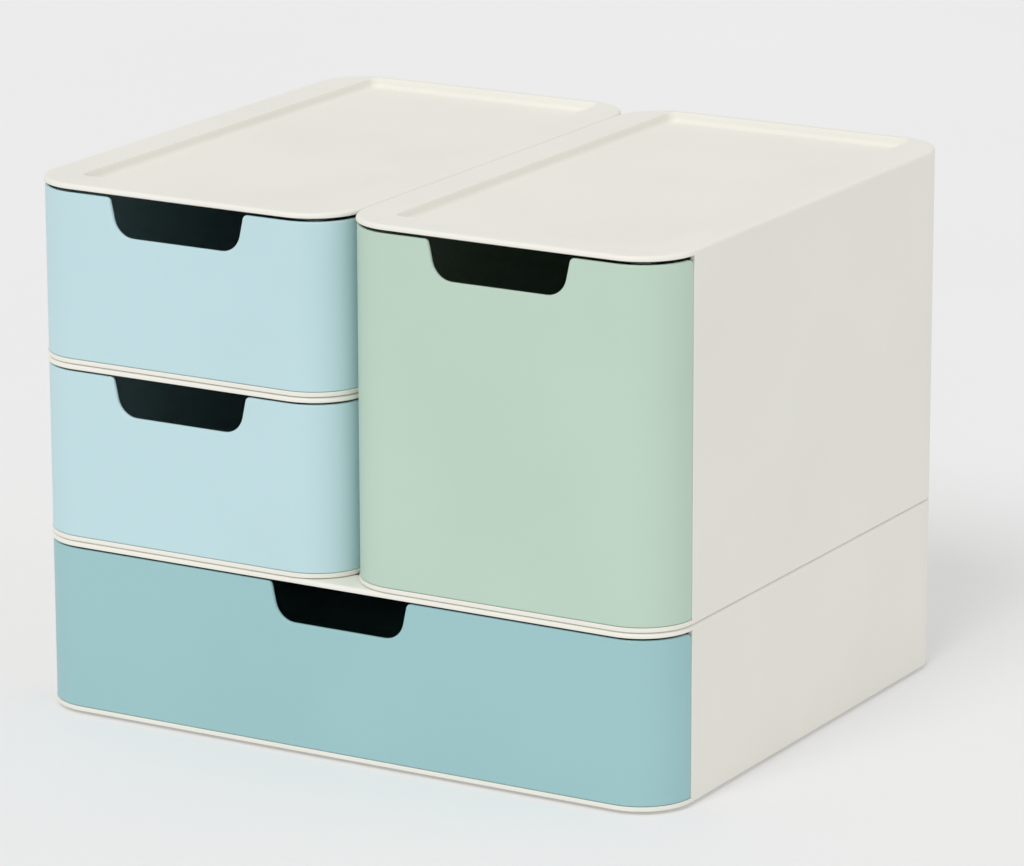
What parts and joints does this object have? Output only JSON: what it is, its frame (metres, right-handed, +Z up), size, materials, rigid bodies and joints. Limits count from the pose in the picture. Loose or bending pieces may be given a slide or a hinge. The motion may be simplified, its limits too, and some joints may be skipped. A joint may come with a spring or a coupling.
{
  "type": "stacking drawer desk organizer",
  "caption": "Modular desk organizer: a wide drawer unit carries two small stacked drawer units and one tall unit, with finger notches and tray tops.",
  "frame": {"origin": "on the ground under the middle of the stack's box", "axes": "+X across the front to the right as seen from the front, -Y out of the drawers' fronts, +Z up"},
  "size_m": [0.28, 0.234, 0.2112],
  "materials": {
    "cream_plastic": "fine matte moulded, off-white",
    "teal_plastic": "fine matte moulded, soft teal",
    "light_blue_plastic": "fine matte moulded, pale blue",
    "mint_plastic": "fine matte moulded, mint green",
    "foot_rubber": "matte, soft"
  },
  "bodies": {
    "base_module": {"base_case": "cream_plastic", "base_foot_front_left": "foot_rubber", "base_foot_front_right": "foot_rubber", "base_foot_back_left": "foot_rubber", "base_foot_back_right": "foot_rubber"},
    "base_drawer": {"base_drawer": "teal_plastic"},
    "small_lower_module": {"small_lower_case": "cream_plastic", "small_lower_foot_front_left": "foot_rubber", "small_lower_foot_front_right": "foot_rubber", "small_lower_foot_back_left": "foot_rubber", "small_lower_foot_back_right": "foot_rubber"},
    "small_lower_drawer": {"small_lower_drawer": "light_blue_plastic"},
    "small_upper_module": {"small_upper_case": "cream_plastic", "small_upper_foot_front_left": "foot_rubber", "small_upper_foot_front_right": "foot_rubber", "small_upper_foot_back_left": "foot_rubber", "small_upper_foot_back_right": "foot_rubber"},
    "small_upper_drawer": {"small_upper_drawer": "light_blue_plastic"},
    "tall_module": {"tall_case": "cream_plastic", "tall_foot_front_left": "foot_rubber", "tall_foot_front_right": "foot_rubber", "tall_foot_back_left": "foot_rubber", "tall_foot_back_right": "foot_rubber"},
    "tall_drawer": {"tall_drawer": "mint_plastic"}
  },
  "joints": [
    {"name": "base_drawer_slide", "type": "slide", "parent": "base_module", "child": "base_drawer", "axis": [0, -1, 0], "range_m": [0, 0.17]},
    {"name": "small_lower_drawer_slide", "type": "slide", "parent": "small_lower_module", "child": "small_lower_drawer", "axis": [0, -1, 0], "range_m": [0, 0.17]},
    {"name": "small_upper_drawer_slide", "type": "slide", "parent": "small_upper_module", "child": "small_upper_drawer", "axis": [0, -1, 0], "range_m": [0, 0.17]},
    {"name": "tall_drawer_slide", "type": "slide", "parent": "tall_module", "child": "tall_drawer", "axis": [0, -1, 0], "range_m": [0, 0.17]},
    {"name": "small_lower_lift", "type": "slide", "parent": "base_module", "child": "small_lower_module", "axis": [0, 0, 1], "range_m": [0, 0.04]},
    {"name": "small_upper_lift", "type": "slide", "parent": "small_lower_module", "child": "small_upper_module", "axis": [0, 0, 1], "range_m": [0, 0.04]},
    {"name": "tall_lift", "type": "slide", "parent": "base_module", "child": "tall_module", "axis": [0, 0, 1], "range_m": [0, 0.04]}
  ]
}
